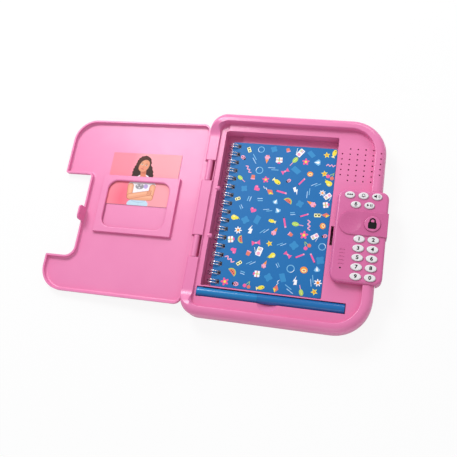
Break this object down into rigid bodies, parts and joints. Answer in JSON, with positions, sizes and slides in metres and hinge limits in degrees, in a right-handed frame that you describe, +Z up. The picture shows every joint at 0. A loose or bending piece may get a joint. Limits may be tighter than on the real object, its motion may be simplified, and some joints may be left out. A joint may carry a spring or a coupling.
{
  "type": "electronic secret diary",
  "caption": "Moulded pink diary case with a hinged lid, keypad lock, speaker grille, photo pocket, wire-bound notebook and felt pen.",
  "frame": {"origin": "centre of the case's underside, on the table", "axes": "+X from the hinge towards the keypad, +Y away from the user, +Z up; the lid lies open on the -X side"},
  "size_m": [0.3337, 0.2066, 0.0286],
  "materials": {
    "case_pink": "satin moulded plastic",
    "lid_pink": "satin moulded plastic",
    "module_pink": "gloss moulded plastic",
    "strap_mauve": "gloss moulded plastic",
    "key_white": "smooth matt plastic",
    "rubber_grey": "silicone rubber",
    "board_green": "solder mask",
    "chip_black": "moulded epoxy",
    "steel": "bright steel",
    "magnet_dark": "dark ferrite",
    "copper": "enamelled copper",
    "cone_paper": "pressed paper",
    "cell_case": "printed metal sleeve",
    "book_cover": "printed card",
    "book_paper": "paper",
    "binding_wire": "white coated wire",
    "pen_blue": "gloss plastic",
    "pen_cap_blue": "gloss plastic",
    "ink_felt": "fibre",
    "photo_print": "gloss photo paper"
  },
  "bodies": {
    "base": {"deck_case": "case_pink", "lower_case": "case_pink", "battery_door": "case_pink", "battery_door_screw": "steel", "battery_contacts": "steel", "battery_cell_1": "cell_case", "battery_cell_2": "cell_case", "battery_cell_3": "cell_case", "case_screws": "steel", "hinge_pins": "steel", "keypad_housing": "module_pink", "lock_strap": "strap_mauve", "key_membrane": "rubber_grey", "circuit_board": "board_green", "voice_chip": "chip_black", "microphone": "steel", "speaker_frame": "steel", "speaker_cone": "cone_paper", "speaker_magnet": "magnet_dark", "solenoid_frame": "steel", "solenoid_coil": "copper", "latch_magnet": "magnet_dark"},
    "lid": {"lid_shell": "lid_pink", "photo_frame": "lid_pink"},
    "photo": {"photo_card": "photo_print"},
    "notebook": {"notebook_pages": "book_paper", "notebook_back_cover": "book_cover", "notebook_binding": "binding_wire"},
    "front_cover": {"notebook_front_cover": "book_cover"},
    "pen": {"pen_barrel": "pen_blue", "pen_reservoir": "ink_felt", "pen_nib": "ink_felt", "pen_end_plug": "pen_blue", "pen_cap": "pen_cap_blue"},
    "bolt": {"latch_bolt": "steel"},
    "bell_key_body": {"bell_key": "key_white"},
    "menu_key_body": {"menu_key": "key_white"},
    "number_key_0_body": {"number_key_0": "key_white"},
    "number_key_1_body": {"number_key_1": "key_white"},
    "number_key_2_body": {"number_key_2": "key_white"},
    "number_key_3_body": {"number_key_3": "key_white"},
    "number_key_4_body": {"number_key_4": "key_white"},
    "number_key_5_body": {"number_key_5": "key_white"},
    "number_key_6_body": {"number_key_6": "key_white"},
    "number_key_7_body": {"number_key_7": "key_white"},
    "number_key_8_body": {"number_key_8": "key_white"},
    "number_key_9_body": {"number_key_9": "key_white"},
    "play_key_body": {"play_key": "key_white"},
    "record_key_body": {"record_key": "key_white"},
    "volume_key_body": {"volume_key": "key_white"},
    "lock_button_body": {"lock_button": "module_pink"}
  },
  "joints": [
    {"name": "lid_hinge", "type": "hinge", "parent": "base", "child": "lid", "pos_m": [-0.082, 0, 0.0165], "axis": [0, -1, 0], "range_deg": [-183.31, 0]},
    {"name": "photo_slide", "type": "slide", "parent": "lid", "child": "photo", "axis": [0, 1, 0], "range_m": [-0.028, 0.028]},
    {"name": "notebook_lift", "type": "slide", "parent": "base", "child": "notebook", "axis": [0, 0, 1], "range_m": [0, 0.04]},
    {"name": "cover_turn", "type": "hinge", "parent": "notebook", "child": "front_cover", "pos_m": [-0.06054, 0.0021, 0.0104], "axis": [0, -1, 0], "range_deg": [0, 100]},
    {"name": "pen_lift", "type": "slide", "parent": "base", "child": "pen", "axis": [0, 0, 1], "range_m": [0, 0.04]},
    {"name": "bolt_slide", "type": "slide", "parent": "base", "child": "bolt", "axis": [-1, 0, 0], "range_m": [0, 0.0018]},
    {"name": "bell_key_press", "type": "slide", "parent": "base", "child": "bell_key_body", "axis": [0, 0, -1], "range_m": [0, 0.0011], "stiffness_N_per_m": 400, "springref_m": -0.0005, "deforming": ["key_membrane"]},
    {"name": "menu_key_press", "type": "slide", "parent": "base", "child": "menu_key_body", "axis": [0, 0, -1], "range_m": [0, 0.0011], "stiffness_N_per_m": 400, "springref_m": -0.0005, "deforming": ["key_membrane"]},
    {"name": "number_key_0_press", "type": "slide", "parent": "base", "child": "number_key_0_body", "axis": [0, 0, -1], "range_m": [0, 0.0011], "stiffness_N_per_m": 400, "springref_m": -0.0005, "deforming": ["key_membrane"]},
    {"name": "number_key_1_press", "type": "slide", "parent": "base", "child": "number_key_1_body", "axis": [0, 0, -1], "range_m": [0, 0.0011], "stiffness_N_per_m": 400, "springref_m": -0.0005, "deforming": ["key_membrane"]},
    {"name": "number_key_2_press", "type": "slide", "parent": "base", "child": "number_key_2_body", "axis": [0, 0, -1], "range_m": [0, 0.0011], "stiffness_N_per_m": 400, "springref_m": -0.0005, "deforming": ["key_membrane"]},
    {"name": "number_key_3_press", "type": "slide", "parent": "base", "child": "number_key_3_body", "axis": [0, 0, -1], "range_m": [0, 0.0011], "stiffness_N_per_m": 400, "springref_m": -0.0005, "deforming": ["key_membrane"]},
    {"name": "number_key_4_press", "type": "slide", "parent": "base", "child": "number_key_4_body", "axis": [0, 0, -1], "range_m": [0, 0.0011], "stiffness_N_per_m": 400, "springref_m": -0.0005, "deforming": ["key_membrane"]},
    {"name": "number_key_5_press", "type": "slide", "parent": "base", "child": "number_key_5_body", "axis": [0, 0, -1], "range_m": [0, 0.0011], "stiffness_N_per_m": 400, "springref_m": -0.0005, "deforming": ["key_membrane"]},
    {"name": "number_key_6_press", "type": "slide", "parent": "base", "child": "number_key_6_body", "axis": [0, 0, -1], "range_m": [0, 0.0011], "stiffness_N_per_m": 400, "springref_m": -0.0005, "deforming": ["key_membrane"]},
    {"name": "number_key_7_press", "type": "slide", "parent": "base", "child": "number_key_7_body", "axis": [0, 0, -1], "range_m": [0, 0.0011], "stiffness_N_per_m": 400, "springref_m": -0.0005, "deforming": ["key_membrane"]},
    {"name": "number_key_8_press", "type": "slide", "parent": "base", "child": "number_key_8_body", "axis": [0, 0, -1], "range_m": [0, 0.0011], "stiffness_N_per_m": 400, "springref_m": -0.0005, "deforming": ["key_membrane"]},
    {"name": "number_key_9_press", "type": "slide", "parent": "base", "child": "number_key_9_body", "axis": [0, 0, -1], "range_m": [0, 0.0011], "stiffness_N_per_m": 400, "springref_m": -0.0005, "deforming": ["key_membrane"]},
    {"name": "play_key_press", "type": "slide", "parent": "base", "child": "play_key_body", "axis": [0, 0, -1], "range_m": [0, 0.0011], "stiffness_N_per_m": 400, "springref_m": -0.0005, "deforming": ["key_membrane"]},
    {"name": "record_key_press", "type": "slide", "parent": "base", "child": "record_key_body", "axis": [0, 0, -1], "range_m": [0, 0.0011], "stiffness_N_per_m": 400, "springref_m": -0.0005, "deforming": ["key_membrane"]},
    {"name": "volume_key_press", "type": "slide", "parent": "base", "child": "volume_key_body", "axis": [0, 0, -1], "range_m": [0, 0.0011], "stiffness_N_per_m": 400, "springref_m": -0.0005, "deforming": ["key_membrane"]},
    {"name": "lock_button_press", "type": "slide", "parent": "base", "child": "lock_button_body", "axis": [0, 0, -1], "range_m": [0, 0.0011], "stiffness_N_per_m": 400, "springref_m": -0.0005, "deforming": ["key_membrane"]}
  ]
}
